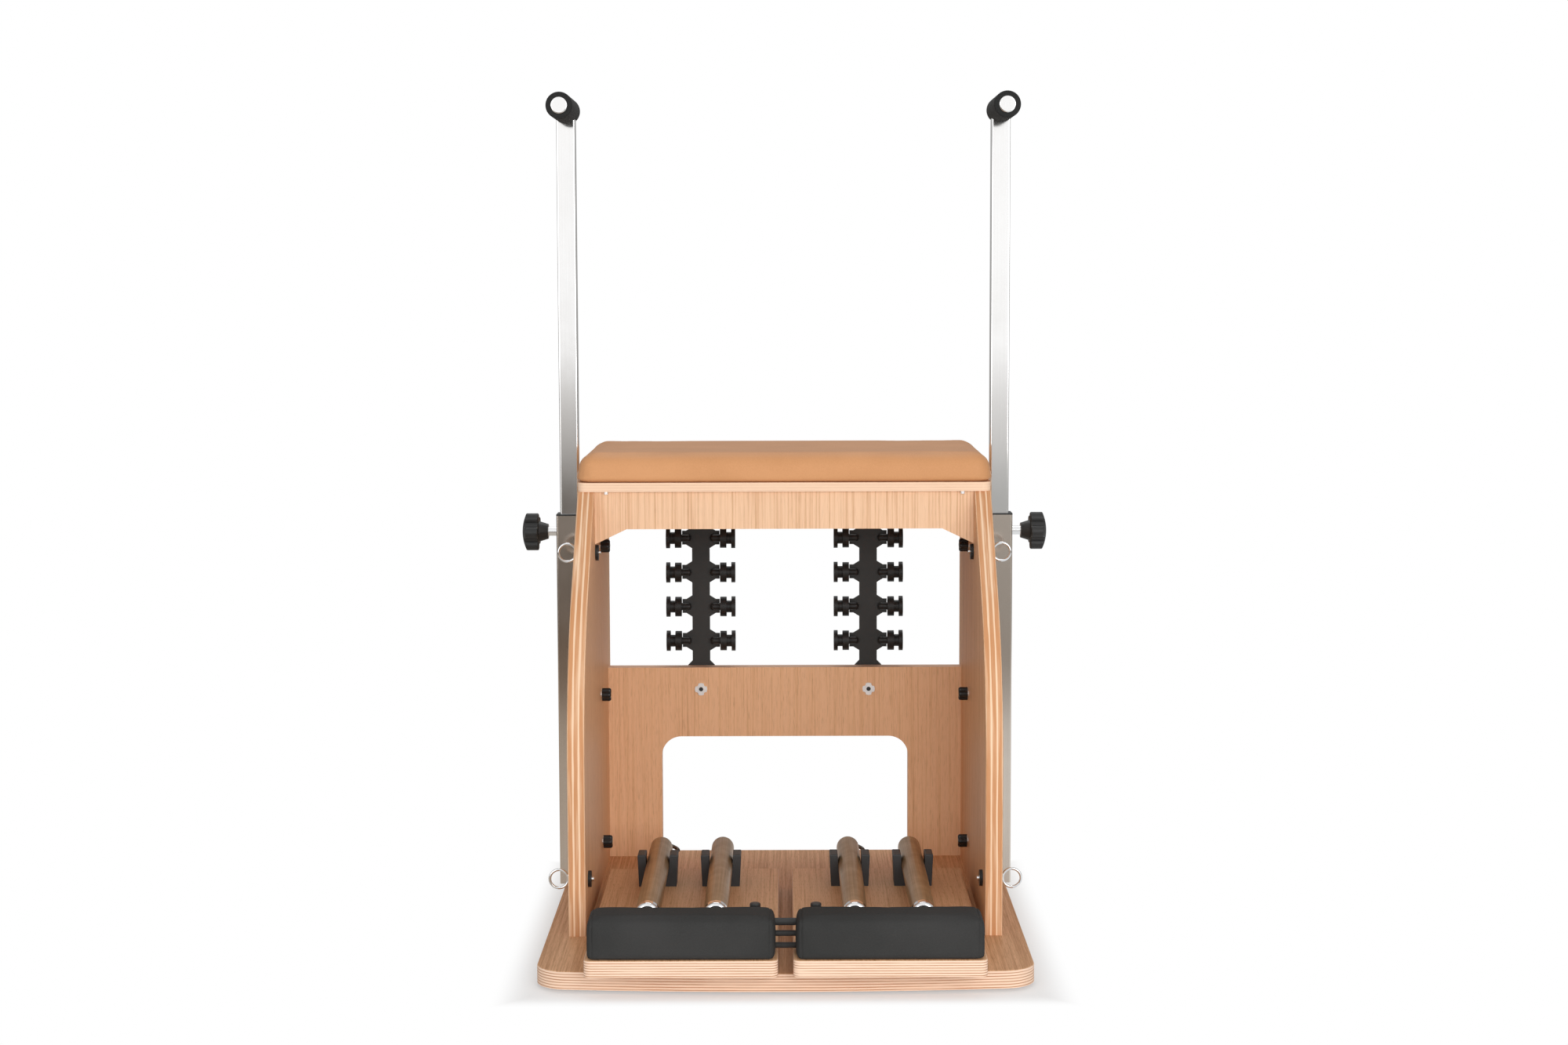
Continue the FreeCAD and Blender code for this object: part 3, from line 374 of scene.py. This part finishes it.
def springSheath():
    finish = Finish("bronzeSheath")
    spot = finish.coordinate("Object")
    place = finish.split(spot)
    stretched = finish.vector(place["x"] * sheath["around"], place["y"] * sheath["along"],
                              place["z"] * sheath["around"])
    lines = finish.noise(stretched, rough=0.6)
    cloud = finish.noise(spot, sheath["cloud"])
    tone = (lines * sheath["lineShare"] + cloud * sheath["cloudShare"]).step(*sheath["tone"])
    colour = finish.mix(tone, sheath["pale"], sheath["deep"])
    rough = sheath["rough"] + cloud.stray(sheath["cloudRough"]) + lines.stray(sheath["lineRough"])
    normal = finish.bump(lines, sheath["relief"], sheath["depth"])
    return finish.surface({"Base Color": colour, "Metallic": sheath["metallic"], "Roughness": rough,
                           "Normal": normal})


report("spring covers")
dress(springSheath(), *(spring + "_spring_cover" for spring in springs))


# leather and vinyl
tanLeather = {"pale": rgb(0.66, 0.325, 0.147), "deep": rgb(0.58, 0.278, 0.12), "rough": 0.55,
              "pebble": 800.0, "relief": 0.2, "pit": 0.3 * mm, "sheen": 0.02, "specular": 0.3}
blackVinyl = {"pale": rgb(0.048, 0.047, 0.046), "deep": rgb(0.036, 0.036, 0.035), "rough": 0.7,
              "pebble": 900.0, "relief": 0.22, "pit": 0.3 * mm, "sheen": 0.0, "specular": 0.05}
hideGrain = {"creaseScale": 0.6, "cloud": 9.0, "cloudShare": 0.7, "creaseShare": 0.3, "tone": (0.3, 0.7),
             "creaseRough": 0.14, "pebbleRise": 0.7, "creaseRise": 0.3, "sheenRough": 0.45}


def hide(name, skin):
    finish = Finish(name)
    spot = finish.coordinate("Object")
    pebble = finish.cells(spot, skin["pebble"])
    crease = finish.noise(spot, skin["pebble"] * hideGrain["creaseScale"], rough=0.6)
    cloud = finish.noise(spot, hideGrain["cloud"])
    tone = (cloud * hideGrain["cloudShare"] + crease * hideGrain["creaseShare"]).step(*hideGrain["tone"])
    colour = finish.mix(tone, skin["pale"], skin["deep"])
    rough = skin["rough"] + crease.stray(hideGrain["creaseRough"])
    relief = pebble * hideGrain["pebbleRise"] + crease * hideGrain["creaseRise"]
    normal = finish.bump(relief, skin["relief"], skin["pit"])
    return finish.surface({"Base Color": colour, "Roughness": rough, "Normal": normal,
                           "Specular IOR Level": skin["specular"], "Sheen Weight": skin["sheen"],
                           "Sheen Roughness": hideGrain["sheenRough"]})


def toMesh(work, name):
    mesh = bpy.data.meshes.new(name)
    work.to_mesh(mesh)
    work.free()
    return mesh


def meshPiece(name, mesh, material):
    piece = bpy.data.objects.new(name, mesh)
    scene.collection.objects.link(piece)
    piece.data.materials.clear()
    piece.data.materials.append(material)
    return piece


def blockIn(low, high):
    work = bmesh.new()
    bmesh.ops.create_cube(work, size=1.0)
    centre = (low + high) / 2.0
    span = high - low
    for vert in work.verts:
        vert.co = Vector(centre[axis] + vert.co[axis] * span[axis] for axis in range(3))
    return work


# steps round an edge, how near a height counts as reached, and the upward normal from which a face is level
rounding = {"planSteps": 10, "rimSteps": 6, "hair": 0.001 * mm, "level": 0.5}


def roundedBlock(low, high, soft):
    # a block with its upright edges rounded to plan, those on top to crownEdge and those below to footEdge
    work = blockIn(low, high)
    tall = (high.z - low.z) / 2.0
    upright = [edge for edge in work.edges if abs(edge.verts[0].co.z - edge.verts[1].co.z) > tall]
    bmesh.ops.bevel(work, geom=upright, offset=soft["plan"], segments=rounding["planSteps"], profile=0.5,
                    affect="EDGES")
    for level, radius in ((high.z, soft["crownEdge"]), (low.z, soft["footEdge"])):
        rim = [edge for edge in work.edges
               if all(abs(vert.co.z - level) < rounding["hair"] for vert in edge.verts)
               and len({abs(face.normal.z) > rounding["level"] for face in edge.link_faces}) == 2]
        bmesh.ops.bevel(work, geom=rim, offset=radius, segments=rounding["rimSteps"], profile=0.5,
                        affect="EDGES")
    bmesh.ops.triangulate(work, faces=[face for face in work.faces if len(face.verts) > 4])
    return toMesh(work, "block")


def evaluated(piece):
    graph = bpy.context.evaluated_depsgraph_get()
    return bpy.data.meshes.new_from_object(piece.evaluated_get(graph))


def settle(piece, *modifiers):
    # adds each modifier with its settings and bakes the result into the mesh
    for kind, settings in modifiers:
        made = piece.modifiers.new(kind.lower(), kind)
        for key, value in settings.items():
            setattr(made, key, value)
    mesh = evaluated(piece)
    piece.modifiers.clear()
    piece.data = mesh


def puff(piece, soft, heldBelow):
    # inflates a closed cover as cloth, held along its foot, and limits how far it swells
    settle(piece, ("REMESH", {"mode": "VOXEL", "voxel_size": soft["voxel"]}),
           ("SMOOTH", {"factor": soft["ease"], "iterations": soft["smooth"]}))
    held = piece.vertex_groups.new(name="held")
    held.add([vert.index for vert in piece.data.vertices if vert.co.z < heldBelow], 1.0, "REPLACE")
    rest = [vert.co.copy() for vert in piece.data.vertices]
    cloth = piece.modifiers.new("cloth", "CLOTH")
    cloth.settings.vertex_group_mass = "held"
    cloth.settings.use_pressure = True
    cloth.settings.uniform_pressure_force = soft["pressure"]
    cloth.settings.effector_weights.gravity = 0.0
    cloth.settings.tension_stiffness = soft["stiffness"]
    cloth.settings.compression_stiffness = soft["stiffness"]
    cloth.settings.bending_stiffness = soft["bending"]
    cloth.point_cache.frame_start = 1
    cloth.point_cache.frame_end = soft["frames"]
    for number in range(1, soft["frames"] + 1):
        scene.frame_set(number)
    mesh = evaluated(piece)
    piece.modifiers.clear()
    scene.frame_set(1)
    moves = []
    for vert, before in zip(mesh.vertices, rest):
        move = vert.co - before
        moves.append(move.length)
        if move.length > soft["cap"]:
            vert.co = before + move.normalized() * soft["cap"]
    piece.data = mesh
    print("chair: puffed", piece.name, "most %.1f mm" % (max(moves) / mm))


def soften(piece, soft):
    settle(piece, ("SMOOTH", {"factor": soft["ease"], "iterations": soft["smooth"]}),
           ("SUBSURF", {"levels": soft["levels"], "render_levels": soft["levels"]}))
    for face in piece.data.polygons:
        face.use_smooth = True


def keepInside(piece, low, high):
    for vert in piece.data.vertices:
        vert.co = Vector(min(max(vert.co[axis], low[axis]), high[axis]) for axis in range(3))


def softBlock(name, soft, low, high, material):
    # a rounded block that is puffed up and stays within the box from low to high
    inset = Vector((soft["inset"], soft["inset"], 0.0))
    top = high - inset - Vector((0.0, 0.0, soft["drop"]))
    piece = meshPiece(name, roundedBlock(low + inset, top, soft), material)
    puff(piece, soft, low.z + soft["held"])
    soften(piece, soft)
    keepInside(piece, low + Vector((0.0, 0.0, soft["foot"])), high)
    return piece


seatSoft = {"inset": 1.0 * mm, "drop": 0.8 * mm, "plan": 24.0 * mm, "crownEdge": 20.0 * mm,
            "footEdge": 3.0 * mm, "voxel": 5.0 * mm, "ease": 0.5, "smooth": 2, "levels": 1, "pressure": 4.0,
            "stiffness": 30.0, "bending": 1.0, "frames": 20, "cap": 3.0 * mm, "held": 4.0 * mm,
            "foot": 0.1 * mm}


def seatCushion():
    low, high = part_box("seat_cushion")
    piece = softBlock("seatCushion", seatSoft, low, high, hide("tanLeather", tanLeather))
    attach(piece, "frame")
    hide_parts("seat_cushion")


# room in the pads for the couplers: each rod's level above the pad's foot and its size, how far the bores
# reach from the chair's middle, and the slot that the knobs' arms sweep towards the back
couplers = {
    "left": ((34.0 * mm, 9.0 * mm),),
    "right": ((20.0 * mm, 7.0 * mm), (5.5 * mm, 7.0 * mm)),
    "depth": 51.0 * mm, "spare": 0.6 * mm, "ownReach": 93.0 * mm, "otherReach": 39.0 * mm, "boreSides": 32,
    "armNear": 30.0 * mm, "armFar": 71.0 * mm, "slotHalf": 3.9 * mm, "pastBack": 10.0 * mm,
    "sharp": math.radians(50.0),
}


def cutter(work):
    piece = bpy.data.objects.new("cutter", toMesh(work, "cutter"))
    scene.collection.objects.link(piece)
    return piece


def roundCutter(start, reach, radius):
    work = bmesh.new()
    bmesh.ops.create_cone(work, cap_ends=True, segments=couplers["boreSides"], radius1=radius,
                          radius2=radius, depth=abs(reach))
    shift = Matrix.Translation(start + Vector((reach / 2.0, 0.0, 0.0)))
    bmesh.ops.transform(work, matrix=shift @ Matrix.Rotation(math.pi / 2.0, 4, "Y"), verts=work.verts)
    return cutter(work)


def couplerCuts(side, low, high):
    way = 1.0 if side == "right" else -1.0
    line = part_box(side + "_pedal_board")[0].y + couplers["depth"]  # counted from the pedal's front edge
    cuts = []
    for owner in ("left", "right"):
        reach = couplers["ownReach"] if owner == side else couplers["otherReach"]
        for level, size in couplers[owner]:
            start = Vector((0.0, line, low.z + level))
            cuts.append(roundCutter(start, way * reach, size / 2.0 + couplers["spare"]))
    levels = [low.z + level for level, size in couplers[side]]
    ends = sorted((way * couplers["armNear"], way * couplers["armFar"]))
    near = Vector((ends[0], line - couplers["spare"], min(levels) - couplers["slotHalf"]))
    far = Vector((ends[1], high.y + couplers["pastBack"], max(levels) + couplers["slotHalf"]))
    cuts.append(cutter(blockIn(near, far)))
    return cuts


def hollow(piece, cuts):
    settle(piece, *(("BOOLEAN", {"operation": "DIFFERENCE", "object": cut}) for cut in cuts))
    for cut in cuts:
        bpy.data.objects.remove(cut)
    piece.data.set_sharp_from_angle(angle=couplers["sharp"])


padSoft = {"inset": 0.9 * mm, "drop": 1.6 * mm, "plan": 9.0 * mm, "crownEdge": 10.0 * mm,
           "footEdge": 3.0 * mm, "voxel": 4.0 * mm, "ease": 0.5, "smooth": 1, "levels": 2, "pressure": 4.0,
           "stiffness": 30.0, "bending": 1.0, "frames": 20, "cap": 1.6 * mm, "held": 3.0 * mm,
           "foot": 0.1 * mm, "seamIn": 7.5 * mm, "seamHalf": 2.2 * mm, "seamDeep": 1.2 * mm,
           "seamAbove": 2.0 * mm}


def padSeams(piece, low, high):
    # draws the cover in along a line near each end
    middle = (low + high) / 2.0
    for vert in piece.data.vertices:
        for seam in (low.x + padSoft["seamIn"], high.x - padSoft["seamIn"]):
            near = 1.0 - abs(vert.co.x - seam) / padSoft["seamHalf"]
            if near > 0.0 and vert.co.z > low.z + padSoft["seamAbove"]:
                inward = Vector((0.0, middle.y - vert.co.y, middle.z - vert.co.z)).normalized()
                vert.co += inward * padSoft["seamDeep"] * near * near


def pedalPad(side, material):
    node = side + "_pedal_pad"
    low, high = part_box(node)
    piece = softBlock(side + "PedalPad", padSoft, low, high, material)
    padSeams(piece, low, high)
    hollow(piece, couplerCuts(side, low, high))
    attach(piece, side + "_pedal")
    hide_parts(node)


report("seat")
seatCushion()
report("pedal pads")
vinyl = hide("blackVinyl", blackVinyl)
for side in ("left", "right"):
    pedalPad(side, vinyl)


# floor, light and camera
white = rgb(1.0, 1.0, 1.0)
# the floor glows white to the camera, less so close to the base; polished metal sees the last four tones
stageSet = {"radius": 2.6, "sides": 96, "floor": rgb(0.86, 0.86, 0.86), "middle": 0.0225,
            "half": (0.30, 0.3335), "near": (0.0, 0.05), "nearGlow": 0.4, "side": (-0.6, 0.6),
            "reach": (-2.0, -0.95),
            "farLeft": rgb(0.13, 0.08, 0.047), "farRight": rgb(0.32, 0.30, 0.28),
            "closeLeft": rgb(0.48, 0.43, 0.375), "closeRight": rgb(0.85, 0.87, 0.88)}
# soft lights the chair; the rest is what polished metal sees of the room, by height and by side
studio = {"soft": 0.42, "ahead": (-0.1, 0.3), "white": (-0.047, -0.034), "grey": (-0.074, -0.069),
          "side": (-0.15, 0.15), "greyLeft": rgb(0.44, 0.42, 0.40), "greyRight": rgb(0.67, 0.66, 0.65),
          "darkLeft": rgb(0.08, 0.06, 0.045), "darkRight": rgb(0.42, 0.42, 0.41),
          "sky": (-0.1, 0.15), "backLow": rgb(0.30, 0.29, 0.28), "backHigh": rgb(0.46, 0.46, 0.46)}


def rays(finish):
    # whether a ray comes off a mirror, and whether it shows floor and backdrop at all
    outputs = finish.node("ShaderNodeLightPath").socket.node.outputs
    camera, glossy, through = (Flow(finish, outputs["Is " + kind + " Ray"])
                               for kind in ("Camera", "Glossy", "Transmission"))
    return glossy, camera.top(glossy).top(through)


def floorPlane():
    work = bmesh.new()
    bmesh.ops.create_circle(work, cap_ends=True, radius=stageSet["radius"], segments=stageSet["sides"])
    finish = Finish("paleFloor")
    place = finish.split(finish.coordinate("Object"))
    halfX, halfY = stageSet["half"]
    away = (place["x"].size() - halfX).top((place["y"] - stageSet["middle"]).size() - halfY)
    share = stageSet["nearGlow"] + away.step(*stageSet["near"]) * (1.0 - stageSet["nearGlow"])
    glossy, seen = rays(finish)
    side = place["x"].step(*stageSet["side"])
    far = finish.mix(side, stageSet["farLeft"], stageSet["farRight"])
    close = finish.mix(side, stageSet["closeLeft"], stageSet["closeRight"])
    mirrored = finish.mix(place["y"].step(*stageSet["reach"]), far, close)
    tint = finish.mix(glossy, white, mirrored)
    matt = finish.node("ShaderNodeBsdfDiffuse", None, {"Color": stageSet["floor"]})
    glow = finish.node("ShaderNodeEmission", None, {"Color": tint, "Strength": 1.0})
    both = finish.node("ShaderNodeMixShader", None, {0: share * seen, 1: matt, 2: glow})
    finish.node("ShaderNodeOutputMaterial", None, {"Surface": both})
    meshPiece("floor", toMesh(work, "floor"), finish.owner)


def studioWorld():
    # white to the camera, and in mirrors a bright wall in front of the chair above a dim floor line
    scene.world = bpy.data.worlds.new("studio")
    finish = Finish("studio", scene.world)
    glossy, seen = rays(finish)
    way = finish.split(finish.coordinate("Generated"))
    side = way["x"].step(*studio["side"])
    dark = finish.mix(side, studio["darkLeft"], studio["darkRight"])
    grey = finish.mix(side, studio["greyLeft"], studio["greyRight"])
    wall = finish.mix(way["z"].step(*studio["white"]), grey, white)
    front = finish.mix(way["z"].step(*studio["grey"]), dark, wall)
    back = finish.mix(way["z"].step(*studio["sky"]), studio["backLow"], studio["backHigh"])
    room = finish.mix((0.0 - way["y"]).step(*studio["ahead"]), back, front)
    colour = finish.mix(glossy, white, room)
    soft = finish.node("ShaderNodeBackground", None, {"Color": white, "Strength": studio["soft"]})
    clear = finish.node("ShaderNodeBackground", None, {"Color": colour, "Strength": 1.0})
    both = finish.node("ShaderNodeMixShader", None, {0: seen, 1: soft, 2: clear})
    finish.node("ShaderNodeOutputWorld", None, {"Surface": both})


# places, aims and sizes in metres, powers in watts; mirrored lamps show in polished metal
chairMiddle = (0.0, 0.0, 0.35)
lamps = {
    "front": {"spot": (0.3, -3.4, 0.95), "aim": chairMiddle, "size": 1.2, "power": 42.0, "mirrored": False},
    "key": {"spot": (1.7, -3.0, 1.2), "aim": chairMiddle, "size": 1.7, "power": 30.0, "mirrored": True},
    "fill": {"spot": (-1.9, -3.0, 1.0), "aim": chairMiddle, "size": 1.8, "power": 16.0, "mirrored": True},
    "top": {"spot": (0.0, 1.1, 2.5), "aim": (0.0, 0.1, 0.5), "size": 1.6, "power": 13.0, "mirrored": True},
}


def studioLamps():
    for name, lamp in lamps.items():
        light = bpy.data.lights.new(name, "AREA")
        light.size = lamp["size"]
        light.energy = lamp["power"]
        holder = bpy.data.objects.new(name, light)
        scene.collection.objects.link(holder)
        holder.visible_glossy = lamp["mirrored"]
        holder.location = lamp["spot"]
        aim = Vector(lamp["aim"]) - Vector(lamp["spot"])
        holder.rotation_euler = aim.to_track_quat("-Z", "Y").to_euler()


# camera fitted to the photograph's 2000 x 1333 frame: metres, degrees and millimetres
shot = {"spot": (-0.0005, -3.2992, 0.8484), "tilt": 5.426, "roll": -0.16, "lens": 59.01, "sensor": 36.0}


def camera():
    tilt = math.radians(shot["tilt"])
    roll = math.radians(shot["roll"])
    forward = Vector((0.0, math.cos(tilt), -math.sin(tilt)))
    right = Vector((1.0, 0.0, 0.0))
    up = right.cross(forward)
    turnedRight = right * math.cos(roll) + up * math.sin(roll)
    turnedUp = up * math.cos(roll) - right * math.sin(roll)
    data = bpy.data.cameras.new("camera")
    data.lens = shot["lens"]
    data.sensor_width = shot["sensor"]
    holder = bpy.data.objects.new("camera", data)
    scene.collection.objects.link(holder)
    turn = Matrix((turnedRight, turnedUp, -forward)).transposed()
    holder.matrix_world = Matrix.Translation(shot["spot"]) @ turn.to_4x4()
    scene.camera = holder


report("stage")
floorPlane()
studioWorld()
studioLamps()
camera()
scene.view_settings.view_transform = "Standard"

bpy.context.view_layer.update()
report("done")
